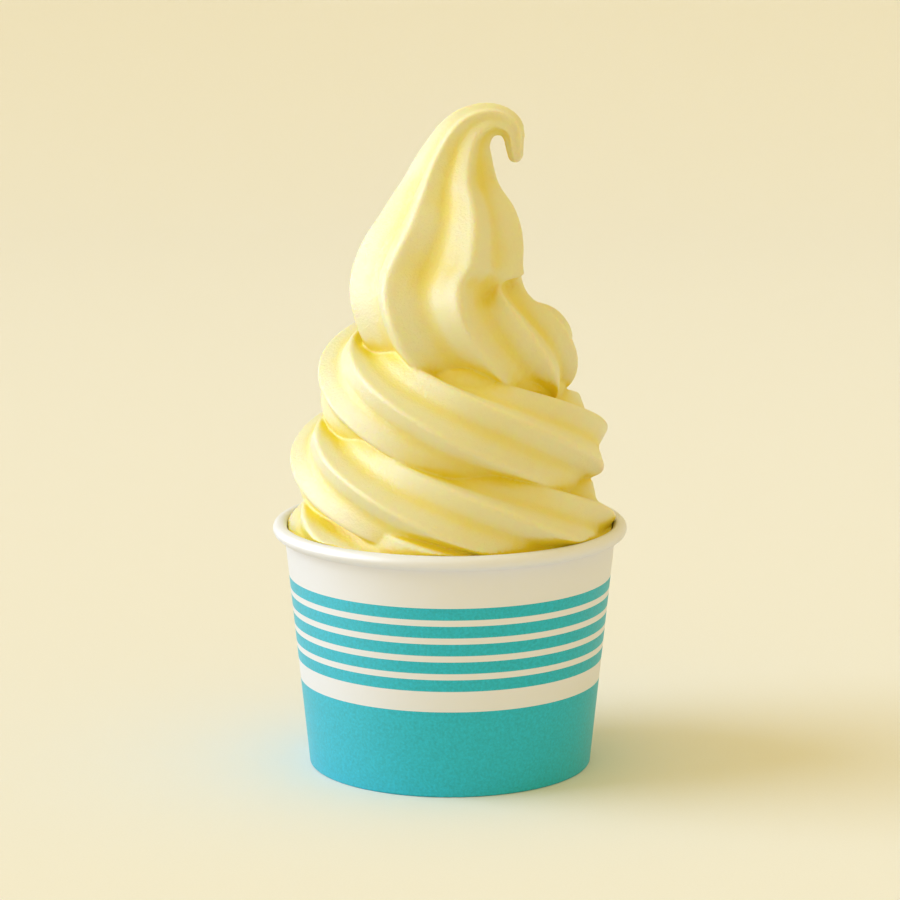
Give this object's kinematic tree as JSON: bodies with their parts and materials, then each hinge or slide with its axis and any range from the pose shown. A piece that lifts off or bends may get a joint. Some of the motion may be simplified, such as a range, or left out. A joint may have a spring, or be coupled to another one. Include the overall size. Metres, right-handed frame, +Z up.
{
  "type": "soft serve cup",
  "caption": "Ridged soft serve coiled to a hooked tip, standing high above a short flared paper cup with a rolled rim, thin stripes and a solid band of colour at its foot.",
  "frame": {"origin": "centre of the cup's foot, on the surface it stands on", "axes": "+Z up along the cup's axis, -Y towards the side that the picture shows, +X to the right there, where the hooked tip points"},
  "size_m": [0.095, 0.095, 0.1786],
  "materials": {
    "soft_serve": "pale yellow soft serve, moist and faintly frosty",
    "printed_paper": "coated white paper printed with teal stripes and a teal band",
    "plain_paper": "coated white paper"
  },
  "bodies": {
    "root": {"soft_serve": "soft_serve", "cup_wall": "printed_paper", "cup_base": "plain_paper"}
  },
  "joints": []
}
